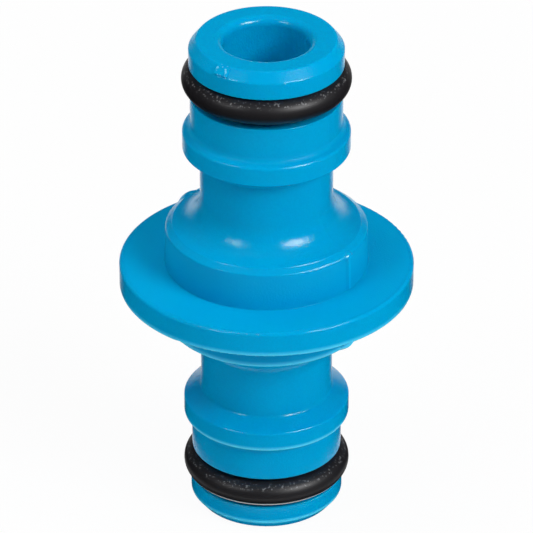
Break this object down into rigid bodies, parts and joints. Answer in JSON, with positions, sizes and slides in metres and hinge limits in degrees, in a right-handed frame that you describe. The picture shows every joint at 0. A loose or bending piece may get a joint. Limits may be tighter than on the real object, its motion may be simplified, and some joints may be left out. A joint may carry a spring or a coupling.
{
  "type": "male hose adapter",
  "caption": "Two-way male adapter for click-on garden hose sockets: one moulded body with mirrored spigots about a round flange, and a rubber ring in a groove near each tip.",
  "frame": {"origin": "on the waterway's axis, midway through the flange's thickness", "axes": "+Z along the waterway towards the upper spigot; the mould halves meet in the XZ plane and the gate's scar faces -Y; as pictured the part stands upright on its lower end face"},
  "size_m": [0.03, 0.03, 0.0534],
  "materials": {
    "blue_plastic": "semi-gloss moulded plastic in cyan blue",
    "black_rubber": "dull black rubber with a faint sheen"
  },
  "bodies": {
    "root": {"adapter_body": "blue_plastic", "upper_o_ring": "black_rubber", "lower_o_ring": "black_rubber"}
  },
  "joints": []
}
